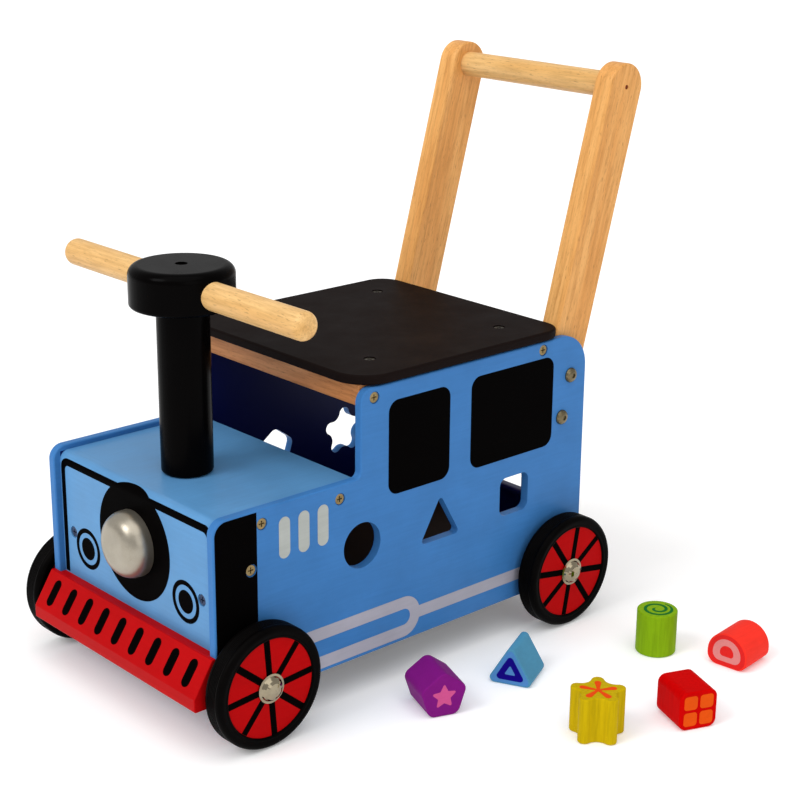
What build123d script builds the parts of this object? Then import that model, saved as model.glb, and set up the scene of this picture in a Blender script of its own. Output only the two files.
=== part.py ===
from build123d import *
import math
import os

# Wooden push-along and ride-on train with a shape-sorter body.
# Millimetres. +X is forward (bumper end), +Y is the left side, +Z is up.
# The origin is on the floor, under the centre of the two side panels.

# ---------------------------------------------------------------- driving dimensions
LEFT = 1
RIGHT = -1

# side panels
PANEL_T = 8.0
BODY_HALF_W = 113.0                       # outer faces of the side panels
INNER_Y = BODY_HALF_W - PANEL_T           # inner faces of the side panels
BODY_HALF_L = 201.0
SKIRT_Z = 31.5
HOOD_EDGE_Z = 186.0
CAB_FRONT_X = 57.0
CAB_TOP_Z = 258.0
PANEL_EDGE_R = 1.5

# shape holes: centre x, centre z
HOLE_Z = 129.0
CIRCLE_X, CIRCLE_D = 55.5, 38.6
TRIANGLE_X, TRIANGLE_SIDE = -29.5, 44.9
SQUARE_X, SQUARE_W = -115.7, 34.2
PENTAGON_X, PENTAGON_R = -29.0, 22.0
FLOWER_X, FLOWER_LOBE_AT, FLOWER_LOBE_R = -111.3, 17.2, 5.8
VALLEY_R = 9.0                            # hollow between two lobes of the flower
D_HOLE_X, D_HOLE_W, D_HOLE_H = 55.5, 39.5, 32.0

# front and hood
FRONT_X, FRONT_T = 195.0, 16.0
FRONT_BACK_X = FRONT_X - FRONT_T
FRONT_BOTTOM_Z = 40.0
HOOD_Z, HOOD_T = 181.5, 15.0
HOOD_UNDER_Z = HOOD_Z - HOOD_T
HOOD_REAR_X = 53.5
FRONT_NOSE_R = 8.0

# floor and rear board
FLOOR_Z, FLOOR_T = 60.0, 6.0
GROOVE = 3.0
REAR_X, REAR_T = -195.0, 12.0
REAR_FRONT_X = REAR_X + REAR_T
REAR_BOTTOM_Z, REAR_TOP_Z = 40.0, 98.0

# corner cleats behind the front panel
CLEAT_X, CLEAT_Y, CLEAT_Z = 155.0, 75.0, 90.0

# bumper (cow-catcher)
BUMPER_BACK_X = BODY_HALF_L
BUMPER_TOP_Z, BUMPER_BOTTOM_Z = 76.8, 38.0
BUMPER_TOP_X, BUMPER_NOSE_X, BUMPER_NOSE_Z = 204.2, 221.6, 49.2
BUMPER_SCREW_Y, BUMPER_SCREW_Z = 60.0, 58.0

# round silver knob on the front
KNOB_R, KNOB_Z, KNOB_T, KNOB_SHOULDER_R = 27.2, 134.0, 20.0, 15.0

# seat
SEAT_Z, SEAT_T = 259.5, 8.0
SEAT_FRONT_X, SEAT_REAR_X, SEAT_HALF_W = 60.0, -170.5, 116.0
SEAT_FRONT_R, SEAT_REAR_R = 30.0, 21.0
RAIL_T = 18.0
RAIL_SPANS = {"front": (4.0, 52.0), "rear": (-162.0, -114.0)}

# push handle
HANDLE_LEAN = 15.23                       # degrees from upright, rearwards
HANDLE_TOP = (-246.8, 462.0)              # centre of the round top and of the crossbar
HANDLE_W, HANDLE_T = 40.0, 19.2
HANDLE_LENGTH = 310.0                     # lower end to the centre of the round top
CROSSBAR_R, CROSSBAR_SOCKET = 11.0, 10.0
HANDLE_INNER_Y = INNER_Y - HANDLE_T
HANDLE_BOLTS = ((-181.4, 222.2), (-171.9, 186.0))

# wheels and axles
WHEEL_X, WHEEL_R, WHEEL_W = 167.0, 50.0, 20.0
WHEEL_INNER_Y = 117.7
WHEEL_OUTER_Y = WHEEL_INNER_Y + WHEEL_W
DISC_R, DISC_SET_IN = 40.2, 2.0
TYRE_EDGE_R = 4.5
AXLE_R, AXLE_END_Y = 4.0, 140.0
RUNNING = 0.06                            # radial clearance of a turning fit

# steering column and handlebar
COLUMN_X = 141.85
POST_R, POST_TOP_Z, POST_GAP = 21.0, 318.0, 0.3
CAP_R, CAP_TOP_Z, CAP_EDGE_R = 41.7, 351.0, 8.0
BAR_R, BAR_HALF_L, BAR_Z = 11.2, 154.7, 333.0
STEER_BOLT_R, STEER_HEAD_R = 3.0, 4.6
STOP_PIN_R, STOP_PIN_AT, STEER_LIMIT = 3.0, 13.0, 45.0
GROOVE_DEPTH = 8.0

# screws: x, z on each side panel; x, y in the seat; y on the front panel
SIDE_SCREWS = ((-146.7, 250.9), (43.2, 249.5), (155.0, 173.7), (78.4, 173.9), (166.0, 138.8))
SEAT_SCREWS = ((16.0, 76.0), (-128.0, 78.0))
FRONT_SCREW_Y, FRONT_SCREW_Z = 89.0, 115.0
SCREW_HEAD_R, SCREW_R, SCREW_RECESS_R, SCREW_SET_IN = 4.25, 2.0, 5.0, 0.8
SIDE_SCREW_L, SEAT_SCREW_L, FRONT_SCREW_L = 25.0, 22.0, 28.0

# loose shape blocks: where each lies on the floor, and the way its end faces (degrees)
BLOCK_L = 38.0
BLOCK_EDGE_R = 1.2
CYLINDER_AT, CYLINDER_R = (-184.9, 220.2), 17.2
FLOWER_AT, FLOWER_TURN = (-36.6, 285.8), 7.4
SQUARE_AT, SQUARE_TURN, SQUARE_BLOCK_W = (-108.5, 315.7), 68.4, 32.6
TRIANGLE_AT, TRIANGLE_TURN, TRIANGLE_BLOCK_SIDE = (-60.2, 176.2), 26.0, 41.8
PENTAGON_AT, PENTAGON_TURN, PENTAGON_BLOCK_R = (27.4, 169.6), 69.7, 21.1
D_AT, D_TURN, D_BLOCK_W, D_BLOCK_H = (-222.0, 279.5), 7.0, 37.8, 30.3


# ---------------------------------------------------------------- shared shapes
def rounded_outline(corners):
    """Closed flat outline through (u, v, radius) corners, each with its own radius."""
    outline = make_face(Polyline(*[(u, v) for u, v, _ in corners], close=True))
    for u, v, radius in corners:
        corner = outline.vertices().sort_by_distance((u, v, 0))[0]
        if radius:
            outline = fillet(corner, radius)
    return outline


def along_y(outline, y_low, y_high):
    """Solid from an outline in x and z, between two values of y."""
    return extrude(Plane.XZ.offset(-y_high) * outline, amount=y_high - y_low)


def block(x, y, z):
    """Box from (low, high) pairs."""
    size = [high - low for low, high in (x, y, z)]
    middle = [(high + low) / 2 for low, high in (x, y, z)]
    return Pos(*middle) * Box(*size)


def turned(profile, place=Location()):
    """Solid of revolution about Z from (radius, height) points, then placed."""
    face = make_face(Polyline(*[(r, 0, h) for r, h in profile], close=True))
    return place * revolve(face, Axis.Z)


def facing(side):
    """Rotation that turns +Z to point out of the left or the right side panel."""
    return Rot(-90 * side, 0, 0)


def rounded_polygon(sides, radius, corner_r):
    """Regular polygon with one corner at the top and rounded corners."""
    shape = Rot(0, 0, 90) * RegularPolygon(radius, sides)
    return fillet(shape.vertices(), corner_r)


def flower_outline(lobe_at, lobe_r):
    """Five round lobes joined by hollow arcs that are tangent to them, one lobe at the top."""
    half = math.radians(36)
    span = lobe_r + VALLEY_R
    hollow_at = lobe_at * math.cos(half) + math.sqrt(span ** 2 - (lobe_at * math.sin(half)) ** 2)
    share = lobe_r / span
    touch_u = lobe_at + (hollow_at * math.cos(half) - lobe_at) * share
    touch_v = hollow_at * math.sin(half) * share
    touch = Vector(touch_u, touch_v)
    next_touch = Vector(touch_u, -touch_v).rotate(Axis.Z, 72)
    valley = Vector(hollow_at - VALLEY_R, 0).rotate(Axis.Z, 36)
    lobe_arc = ThreePointArc((touch_u, -touch_v), (lobe_at + lobe_r, 0), touch)
    valley_arc = ThreePointArc(touch, valley, next_touch)
    edges = [Rot(0, 0, 90 + 72 * n) * arc for n in range(5) for arc in (lobe_arc, valley_arc)]
    return make_face(edges)


def d_outline(width, height, corner_r):
    """Capital D lying on its flat side, from the flat side up."""
    half = width / 2
    crown = half - 0.02
    return rounded_outline([(-half, 0, corner_r), (half, 0, corner_r), (half, height, crown),
                            (-half, height, crown)])


# ---------------------------------------------------------------- fasteners
def wood_screw(length):
    """Countersunk cross-head screw, head up at z = 0."""
    body = turned([(0, 0), (SCREW_HEAD_R, 0), (SCREW_HEAD_R, -0.8), (SCREW_R, -3),
                   (SCREW_R, -length + 4), (0, -length)])
    for turn in (0, 90):
        body -= Pos(0, 0, -0.6) * Rot(0, 0, turn) * Box(5, 1, 1.4)
    return body


def screw_pocket(length):
    """Recess, countersink and pilot hole for a wood screw, open at the top."""
    gap = 0.08
    shank = SCREW_R + gap
    return turned([(0, 4), (SCREW_RECESS_R, 4), (SCREW_RECESS_R, -0.8 - gap),
                   (SCREW_HEAD_R, -0.8 - gap), (shank, -3 - gap), (shank, -length - gap),
                   (0, -length - gap)])


def side_places(side):
    """Where the side screws' heads lie, just below a side panel's outer face."""
    return [Pos(x, side * (BODY_HALF_W - SCREW_SET_IN), z) * facing(side) for x, z in SIDE_SCREWS]


def seat_places():
    head_z = SEAT_Z + SEAT_T - SCREW_SET_IN
    return [Pos(x, side * y, head_z) for x, y in SEAT_SCREWS for side in (LEFT, RIGHT)]


def front_places():
    head_x = FRONT_X - SCREW_SET_IN
    return [Pos(head_x, side * FRONT_SCREW_Y, FRONT_SCREW_Z) * Rot(0, 90, 0) for side in (LEFT, RIGHT)]


def bumper_places():
    """Screws that go forward through the front panel into the bumper."""
    head_x = FRONT_BACK_X + SCREW_SET_IN
    return [Pos(head_x, side * BUMPER_SCREW_Y, BUMPER_SCREW_Z) * Rot(0, -90, 0)
            for side in (LEFT, RIGHT)]


def knob_place():
    return Pos(FRONT_BACK_X + SCREW_SET_IN, 0, KNOB_Z) * Rot(0, -90, 0)


def drilled(part, places, length):
    """Part with a screw pocket cut at each place."""
    for place in places:
        part -= place * screw_pocket(length)
    return part


def all_side_places():
    return side_places(LEFT) + side_places(RIGHT)


def screw_group(places, length):
    return Compound([(place * wood_screw(length)).solid() for place in places])


# ---------------------------------------------------------------- body
def panel_blank():
    """Side panel outline: low hood at the front, tall cab behind."""
    return rounded_outline([(-BODY_HALF_L, SKIRT_Z, 12), (BODY_HALF_L, SKIRT_Z, 12),
                            (BODY_HALF_L, HOOD_EDGE_Z, 12), (CAB_FRONT_X, HOOD_EDGE_Z, 5),
                            (CAB_FRONT_X, CAB_TOP_Z, 12), (-BODY_HALF_L, CAB_TOP_Z, 30)])


def shape_holes(side):
    """The three sorter holes of one side, as outlines in x and z."""
    if side == LEFT:
        return [Pos(CIRCLE_X, HOLE_Z) * Circle(CIRCLE_D / 2),
                Pos(TRIANGLE_X, HOLE_Z - 4.7) * rounded_polygon(3, TRIANGLE_SIDE / math.sqrt(3), 3),
                Pos(SQUARE_X, HOLE_Z) * RectangleRounded(SQUARE_W, SQUARE_W, 7)]
    return [Pos(PENTAGON_X, HOLE_Z) * rounded_polygon(5, PENTAGON_R, 7),
            Pos(FLOWER_X, HOLE_Z + 1) * flower_outline(FLOWER_LOBE_AT, FLOWER_LOBE_R),
            Pos(D_HOLE_X, HOLE_Z - D_HOLE_H / 2) * d_outline(D_HOLE_W, D_HOLE_H, 9.5)]


def side_panel(side):
    low, high = sorted((side * INNER_Y, side * BODY_HALF_W))
    panel = along_y(panel_blank(), low, high)
    faces = panel.faces().sort_by(Axis.Y)
    panel = fillet(faces[0].edges() + faces[-1].edges(), PANEL_EDGE_R)
    for hole in shape_holes(side):
        panel -= along_y(hole, low - 1, high + 1)
    for x in (WHEEL_X, -WHEEL_X):
        panel -= along_y(Pos(x, WHEEL_R) * Circle(AXLE_R + 0.05), low - 1, high + 1)
    for x, z in HANDLE_BOLTS:
        panel -= along_y(Pos(x, z) * Circle(3.1), low - 1, high + 1)
    panel -= block((REAR_FRONT_X, FRONT_BACK_X), (-INNER_Y - GROOVE, INNER_Y + GROOVE),
                   (FLOOR_Z, FLOOR_Z + FLOOR_T))
    for dowel in rear_dowel_solids():
        panel -= dowel
    return drilled(panel, side_places(side), SIDE_SCREW_L)


def front_panel():
    panel = block((FRONT_BACK_X, FRONT_X), (-INNER_Y, INNER_Y), (FRONT_BOTTOM_Z, HOOD_Z))
    nose = panel.edges().filter_by(Axis.Y).sort_by_distance((FRONT_X, 0, HOOD_Z))[0]
    panel = fillet(nose, FRONT_NOSE_R)
    panel = drilled(panel, front_places(), FRONT_SCREW_L)
    panel = drilled(panel, bumper_places(), FRONT_SCREW_L)
    return drilled(panel, [knob_place()], FRONT_SCREW_L)


def hood_panel():
    """Flat hood with the steering bore and the curved groove that limits the steering."""
    panel = block((HOOD_REAR_X, FRONT_BACK_X), (-INNER_Y, INNER_Y), (HOOD_UNDER_Z, HOOD_Z))
    panel -= Pos(COLUMN_X, 0, HOOD_UNDER_Z) * Cylinder(STEER_BOLT_R + RUNNING, 4 * HOOD_T)
    half_arc = STEER_LIMIT + 2
    path = CenterArc((0, 0), STOP_PIN_AT, 180 - half_arc, 2 * half_arc)
    groove = extrude(SlotArc(path, 2 * STOP_PIN_R + 1), amount=GROOVE_DEPTH)
    panel -= Pos(COLUMN_X, 0, HOOD_Z - GROOVE_DEPTH) * groove
    return drilled(panel, all_side_places(), SIDE_SCREW_L)


def floor_panel():
    reach = INNER_Y + GROOVE
    return block((REAR_FRONT_X, FRONT_BACK_X), (-reach, reach), (FLOOR_Z, FLOOR_Z + FLOOR_T))


def rear_dowel_solids():
    """Glued dowels that pin the rear board between the side panels."""
    dowels = []
    for side in (LEFT, RIGHT):
        for z in (56, 82):
            low, high = sorted((side * (INNER_Y + 4), side * (INNER_Y - 14)))
            dowels.append(along_y(Pos(REAR_X + REAR_T / 2, z) * Circle(3), low, high))
    return dowels


def rear_panel():
    """Low rear board with a rounded top edge."""
    panel = block((REAR_X, REAR_FRONT_X), (-INNER_Y, INNER_Y), (REAR_BOTTOM_Z, REAR_TOP_Z))
    panel = fillet(panel.faces().sort_by(Axis.Z)[-1].edges().filter_by(Axis.Y), 4)
    for dowel in rear_dowel_solids():
        panel -= dowel
    return panel


def corner_cleats():
    """Square blocks that join the front panel to the side panels."""
    cleats = []
    for side in (LEFT, RIGHT):
        cleat = block((CLEAT_X, FRONT_BACK_X), sorted((side * CLEAT_Y, side * INNER_Y)),
                      (CLEAT_Z, HOOD_UNDER_Z))
        cleat = drilled(cleat, side_places(side), SIDE_SCREW_L)
        cleats.append(drilled(cleat, front_places(), FRONT_SCREW_L).solid())
    return Compound(cleats)


def bumper():
    """Slanted beam across the front, with a tongue between the side panels."""
    outline = rounded_outline([(BUMPER_BACK_X, BUMPER_BOTTOM_Z, 0), (BUMPER_NOSE_X, BUMPER_BOTTOM_Z, 2),
                               (BUMPER_NOSE_X, BUMPER_NOSE_Z, 2), (BUMPER_TOP_X, BUMPER_TOP_Z, 1.2),
                               (BUMPER_BACK_X, BUMPER_TOP_Z, 0)])
    beam = along_y(outline, -BODY_HALF_W, BODY_HALF_W)
    ends = beam.faces().sort_by(Axis.Y)
    beam = fillet(ends[0].edges() + ends[-1].edges(), 0.8)
    beam += block((FRONT_X, BUMPER_BACK_X + 2), (-INNER_Y, INNER_Y), (FRONT_BOTTOM_Z, BUMPER_TOP_Z - 1))
    return drilled(beam, bumper_places(), FRONT_SCREW_L)


def front_knob():
    """Silver knob on the front panel, flat in the middle with a wide rounded shoulder."""
    knob = Pos(0, 0, KNOB_T / 2) * Cylinder(KNOB_R, KNOB_T)
    rim = knob.edges().filter_by(GeomType.CIRCLE).sort_by(Axis.Z)[-1]
    knob = fillet(rim, KNOB_SHOULDER_R)
    knob = Pos(FRONT_X, 0, KNOB_Z) * Rot(0, 90, 0) * knob
    return drilled(knob, [knob_place()], FRONT_SCREW_L)


def seat_board():
    outline = rounded_outline([(SEAT_REAR_X, -SEAT_HALF_W, SEAT_REAR_R),
                               (SEAT_FRONT_X, -SEAT_HALF_W, SEAT_FRONT_R),
                               (SEAT_FRONT_X, SEAT_HALF_W, SEAT_FRONT_R),
                               (SEAT_REAR_X, SEAT_HALF_W, SEAT_REAR_R)])
    board = extrude(outline, amount=SEAT_T)
    faces = board.faces().sort_by(Axis.Z)
    board = fillet(faces[0].edges() + faces[-1].edges(), 2)
    return drilled(Pos(0, 0, SEAT_Z) * board, seat_places(), SEAT_SCREW_L)


def seat_rail(name):
    """Cross rail between the side panels, under the seat board."""
    rail = block(RAIL_SPANS[name], (-INNER_Y, INNER_Y), (SEAT_Z - RAIL_T, SEAT_Z))
    rail = chamfer(rail.edges().filter_by(Axis.Y), 0.8)
    rail = drilled(rail, all_side_places(), SIDE_SCREW_L)
    return drilled(rail, seat_places(), SEAT_SCREW_L)


# ---------------------------------------------------------------- push handle
def handle_upright(side):
    """Leaning flat post with a full round top and two stepped bolt holes."""
    outline = rounded_outline([(-HANDLE_W / 2, -HANDLE_LENGTH, 4), (HANDLE_W / 2, -HANDLE_LENGTH, 4),
                               (HANDLE_W / 2, HANDLE_W / 2, HANDLE_W / 2 - 0.02),
                               (-HANDLE_W / 2, HANDLE_W / 2, HANDLE_W / 2 - 0.02)])
    outline = Pos(*HANDLE_TOP) * Rot(0, 0, HANDLE_LEAN) * outline
    low, high = sorted((side * HANDLE_INNER_Y, side * INNER_Y))
    upright = along_y(outline, low, high)
    faces = upright.faces().sort_by(Axis.Y)
    upright = fillet(faces[0].edges() + faces[-1].edges(), 2)
    socket_end = side * (HANDLE_INNER_Y + CROSSBAR_SOCKET)
    upright -= along_y(Pos(*HANDLE_TOP) * Circle(CROSSBAR_R), *sorted((0, socket_end)))
    upright -= along_y(Pos(*HANDLE_TOP) * Circle(2), *sorted((side * (INNER_Y - 26), side * (INNER_Y + 1))))
    for x, z in HANDLE_BOLTS:
        upright -= along_y(Pos(x, z) * Circle(3.1), low - 1, high + 1)
        upright -= along_y(Pos(x, z) * Circle(4.6), *sorted((0, side * (HANDLE_INNER_Y + 11))))
    return upright


def handle_crossbar():
    reach = HANDLE_INNER_Y + CROSSBAR_SOCKET
    bar = along_y(Pos(*HANDLE_TOP) * Circle(CROSSBAR_R), -reach, reach)
    return bar - crossbar_pin(LEFT) - crossbar_pin(RIGHT)


def crossbar_pin(side):
    """Glued pin along the crossbar's axis, sunk a little below the upright's face."""
    low, high = sorted((side * (INNER_Y - 26), side * (INNER_Y - 0.8)))
    return along_y(Pos(*HANDLE_TOP) * Circle(2), low, high)


def crossbar_pins():
    return Compound([crossbar_pin(side).solid() for side in (LEFT, RIGHT)])


def button_bolt():
    """Button-head socket bolt, underside of the head at z = 0, head up."""
    head = turned([(0, 0), (6.5, 0), (6.5, 0.9), (5.9, 2.2), (4.6, 3.3), (3, 3.8), (0, 3.8)])
    head -= Pos(0, 0, 2.8) * extrude(RegularPolygon(2, 6, major_radius=False), amount=3)
    return head + Pos(0, 0, -13) * Cylinder(3, 26.02)


def barrel_nut():
    """Flanged barrel nut, the flange's bearing face at z = 0, flange down."""
    nut = turned([(0, -2), (7, -2), (7.5, -1.4), (7.5, 0), (4.5, 0), (4.5, 10), (0, 10)])
    return nut - Pos(0, 0, 5.6) * Cylinder(3.05, 11)


def handle_bolts():
    places = [Pos(x, side * BODY_HALF_W, z) * facing(side)
              for x, z in HANDLE_BOLTS for side in (LEFT, RIGHT)]
    return Compound([(place * button_bolt()).solid() for place in places])


def handle_nuts():
    places = [Pos(x, side * HANDLE_INNER_Y, z) * facing(side)
              for x, z in HANDLE_BOLTS for side in (LEFT, RIGHT)]
    return Compound([(place * barrel_nut()).solid() for place in places])


# ---------------------------------------------------------------- wheels
def axle(x):
    return along_y(Pos(x, WHEEL_R) * Circle(AXLE_R), -AXLE_END_Y, AXLE_END_Y)


def wheel_places(height):
    """The four axle ends at one distance from the middle, each facing outwards."""
    return [Pos(x, side * height, WHEEL_R) * facing(side)
            for x in (WHEEL_X, -WHEEL_X) for side in (LEFT, RIGHT)]


def axle_spacers():
    """Bushes that keep the wheels off the side panels."""
    length = WHEEL_INNER_Y - BODY_HALF_W - 0.3
    bush = turned([(AXLE_R + 0.05, 0), (8, 0), (8, length), (AXLE_R + 0.05, length)])
    return Compound([(place * bush).solid() for place in wheel_places(BODY_HALF_W)])


def axle_caps():
    """Push-on domed caps that hold the wheels on the axles."""
    bore = AXLE_R + 0.02
    base = WHEEL_OUTER_Y - DISC_SET_IN + 0.3
    bore_top = AXLE_END_Y - base + 0.2
    cap = turned([(bore, 0), (12, 0), (12, 1), (10.2, 1.3), (9.4, 2.6), (7.9, 4.3), (5.6, 5.6),
                  (2.9, 6.3), (0, 6.5), (0, bore_top), (bore, bore_top)])
    return Compound([(place * cap).solid() for place in wheel_places(base)])


def wheel_disc(place):
    """Painted wooden disc with an axle bore, between the tyre's faces."""
    inner = DISC_SET_IN
    outer = WHEEL_W - DISC_SET_IN
    bore = AXLE_R + RUNNING
    return turned([(bore, 0), (12, 0), (12, inner), (DISC_R, inner), (DISC_R, outer), (bore, outer)],
                  place)


def tyre(place):
    """Rubber ring pressed round the disc."""
    ring = turned([(DISC_R, 0), (WHEEL_R, 0), (WHEEL_R, WHEEL_W), (DISC_R, WHEEL_W)])
    edges = [e for e in ring.edges().filter_by(GeomType.CIRCLE) if e.radius > WHEEL_R - 1]
    ring = fillet(edges, TYRE_EDGE_R)
    return place * ring


# ---------------------------------------------------------------- steering column
def column_post():
    height = POST_TOP_Z - HOOD_Z - POST_GAP
    post = Pos(0, 0, height / 2) * Cylinder(POST_R, height)
    post = fillet(post.faces().sort_by(Axis.Z)[0].edges(), 3)
    post -= Cylinder(STEER_BOLT_R + 0.05, 3 * height)
    post -= Pos(-STOP_PIN_AT, 0, 0) * Cylinder(STOP_PIN_R, 28)
    return Pos(COLUMN_X, 0, HOOD_Z + POST_GAP) * post


def column_cap():
    """Thick round cap that the handlebar passes through."""
    height = CAP_TOP_Z - POST_TOP_Z
    cap = Pos(0, 0, height / 2) * Cylinder(CAP_R, height)
    cap = fillet(cap.faces().sort_by(Axis.Z)[-1].edges(), CAP_EDGE_R)
    cap = fillet(cap.faces().sort_by(Axis.Z)[0].edges(), 3)
    cap -= Cylinder(STEER_BOLT_R + 0.05, 3 * height)
    cap -= Pos(0, 0, height) * Cylinder(STEER_HEAD_R + 0.4, 10)
    cap = Pos(COLUMN_X, 0, POST_TOP_Z) * cap
    return cap - along_y(Pos(COLUMN_X, BAR_Z) * Circle(BAR_R), -2 * CAP_R, 2 * CAP_R)


def handlebar():
    """Round bar with domed ends and a cross hole for the column bolt."""
    bar = along_y(Pos(COLUMN_X, BAR_Z) * Circle(BAR_R), -BAR_HALF_L, BAR_HALF_L)
    bar = fillet(bar.edges().filter_by(GeomType.CIRCLE), 7)
    return bar - Pos(COLUMN_X, 0, BAR_Z) * Cylinder(STEER_BOLT_R + 0.05, 3 * BAR_R)


def steering_bolt():
    """Long bolt down through cap, handlebar, post and hood."""
    head_seat = CAP_TOP_Z - 5
    tip = HOOD_UNDER_Z - 10
    bolt = turned([(0, head_seat + 3), (STEER_HEAD_R, head_seat + 2.4), (STEER_HEAD_R, head_seat),
                   (STEER_BOLT_R, head_seat), (STEER_BOLT_R, tip), (0, tip)])
    bolt -= Pos(0, 0, head_seat + 1.2) * extrude(RegularPolygon(2, 6, major_radius=False), amount=4)
    return Pos(COLUMN_X, 0, 0) * bolt


def steering_washer():
    top = HOOD_UNDER_Z - POST_GAP
    bore = STEER_BOLT_R + 0.05
    return turned([(bore, top), (9, top), (9, top - 1.5), (bore, top - 1.5)], Pos(COLUMN_X, 0, 0))


def steering_lock_nut():
    top = HOOD_UNDER_Z - POST_GAP - 1.5
    nut = extrude(RegularPolygon(5, 6, major_radius=False), amount=-6.5)
    nut -= Cylinder(STEER_BOLT_R + 0.02, 20)
    return Pos(COLUMN_X, 0, top) * nut


def stop_pin():
    """Dowel under the post that runs in the hood's curved groove."""
    low = HOOD_Z - GROOVE_DEPTH + 1.5
    high = HOOD_Z + POST_GAP + 14
    return turned([(0, low), (STOP_PIN_R, low), (STOP_PIN_R, high), (0, high)],
                  Pos(COLUMN_X - STOP_PIN_AT, 0, 0))


# ---------------------------------------------------------------- loose shape blocks
def softened(solid, axis):
    """Solid with its two end faces' edges rounded."""
    ends = solid.faces().sort_by(axis)
    return fillet(ends[0].edges() + ends[-1].edges(), BLOCK_EDGE_R)


def standing(outline, at, turn=0):
    solid = softened(extrude(outline, amount=BLOCK_L), Axis.Z)
    return Pos(at[0], at[1], 0) * Rot(0, 0, turn) * solid


def lying(outline, at, turn):
    """Prism on its side: the outline's v axis is up and its end faces the turn angle."""
    solid = softened(extrude(Plane.YZ.offset(-BLOCK_L / 2) * outline, amount=BLOCK_L), Axis.X)
    return Pos(at[0], at[1], 0) * Rot(0, 0, turn) * solid


def cylinder_block():
    return standing(Circle(CYLINDER_R), CYLINDER_AT)


def flower_block():
    return standing(flower_outline(FLOWER_LOBE_AT - 0.2, FLOWER_LOBE_R - 0.5), FLOWER_AT,
                    FLOWER_TURN - 90)


def square_block():
    outline = Pos(0, SQUARE_BLOCK_W / 2) * RectangleRounded(SQUARE_BLOCK_W, SQUARE_BLOCK_W, 6.7)
    return lying(outline, SQUARE_AT, SQUARE_TURN)


def triangle_block():
    radius = TRIANGLE_BLOCK_SIDE / math.sqrt(3)
    return lying(Pos(0, radius / 2) * rounded_polygon(3, radius, 4.2), TRIANGLE_AT, TRIANGLE_TURN)


def pentagon_block():
    rise = PENTAGON_BLOCK_R * math.cos(math.radians(36))
    return lying(Pos(0, rise) * rounded_polygon(5, PENTAGON_BLOCK_R, 7), PENTAGON_AT, PENTAGON_TURN)


def d_block():
    return lying(d_outline(D_BLOCK_W, D_BLOCK_H, 9.3), D_AT, D_TURN)


# ---------------------------------------------------------------- all nodes
def walker_nodes():
    nodes = {
        "left_side_panel": side_panel(LEFT),
        "right_side_panel": side_panel(RIGHT),
        "front_panel": front_panel(),
        "hood_panel": hood_panel(),
        "floor_panel": floor_panel(),
        "rear_panel": rear_panel(),
        "rear_panel_dowels": Compound([dowel.solid() for dowel in rear_dowel_solids()]),
        "corner_cleats": corner_cleats(),
        "bumper": bumper(),
        "front_knob": front_knob(),
        "seat_board": seat_board(),
        "seat_rail_front": seat_rail("front"),
        "seat_rail_rear": seat_rail("rear"),
        "side_screws": screw_group(all_side_places(), SIDE_SCREW_L),
        "seat_screws": screw_group(seat_places(), SEAT_SCREW_L),
        "front_screws": screw_group(front_places(), FRONT_SCREW_L),
        "bumper_screws": screw_group(bumper_places(), FRONT_SCREW_L),
        "knob_screw": knob_place() * wood_screw(FRONT_SCREW_L),
        "handle_upright_left": handle_upright(LEFT),
        "handle_upright_right": handle_upright(RIGHT),
        "handle_crossbar": handle_crossbar(),
        "crossbar_pins": crossbar_pins(),
        "handle_bolts": handle_bolts(),
        "handle_nuts": handle_nuts(),
        "front_axle": axle(WHEEL_X),
        "rear_axle": axle(-WHEEL_X),
        "axle_spacers": axle_spacers(),
        "axle_caps": axle_caps(),
        "column_post": column_post(),
        "column_cap": column_cap(),
        "handlebar": handlebar(),
        "steering_bolt": steering_bolt(),
        "steering_washer": steering_washer(),
        "steering_lock_nut": steering_lock_nut(),
        "stop_pin": stop_pin(),
        "cylinder_block": cylinder_block(),
        "flower_block": flower_block(),
        "square_block": square_block(),
        "triangle_block": triangle_block(),
        "pentagon_block": pentagon_block(),
        "d_block": d_block(),
    }
    corners = ("front_left", "front_right", "rear_left", "rear_right")
    for corner, place in zip(corners, wheel_places(WHEEL_INNER_Y)):
        nodes["wheel_disc_" + corner] = wheel_disc(place)
        nodes["tyre_" + corner] = tyre(place)
    return nodes


os.makedirs("parts", exist_ok=True)
for name, shape in walker_nodes().items():
    export_step(shape, "parts/" + name + ".step")
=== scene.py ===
import bpy
import bmesh
from math import sin, cos, tan, pi, radians, sqrt, atan2
from mathutils import Vector, Matrix


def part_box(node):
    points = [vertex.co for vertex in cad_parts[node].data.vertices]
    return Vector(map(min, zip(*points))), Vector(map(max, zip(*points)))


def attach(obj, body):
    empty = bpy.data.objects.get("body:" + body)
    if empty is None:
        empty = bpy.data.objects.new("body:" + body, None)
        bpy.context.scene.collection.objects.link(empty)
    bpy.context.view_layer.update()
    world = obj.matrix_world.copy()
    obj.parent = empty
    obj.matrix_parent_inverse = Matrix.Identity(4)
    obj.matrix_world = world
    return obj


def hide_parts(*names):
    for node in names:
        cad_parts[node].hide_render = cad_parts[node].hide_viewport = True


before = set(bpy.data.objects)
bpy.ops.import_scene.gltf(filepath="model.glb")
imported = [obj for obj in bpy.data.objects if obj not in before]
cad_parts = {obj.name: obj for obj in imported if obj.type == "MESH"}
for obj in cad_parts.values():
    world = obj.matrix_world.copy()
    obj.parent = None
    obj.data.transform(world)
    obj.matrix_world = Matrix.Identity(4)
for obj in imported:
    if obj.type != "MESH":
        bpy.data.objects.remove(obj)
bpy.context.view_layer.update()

MM = 0.001
SIDES = {"left": 1, "right": -1}
CORNERS = ("front_left", "front_right", "rear_left", "rear_right")
BODY = "body"


def mm_box(node):
    """Lowest and highest corners of a CAD node, in millimetres."""
    low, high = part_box(node)
    return Vector(low) / MM, Vector(high) / MM


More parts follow.
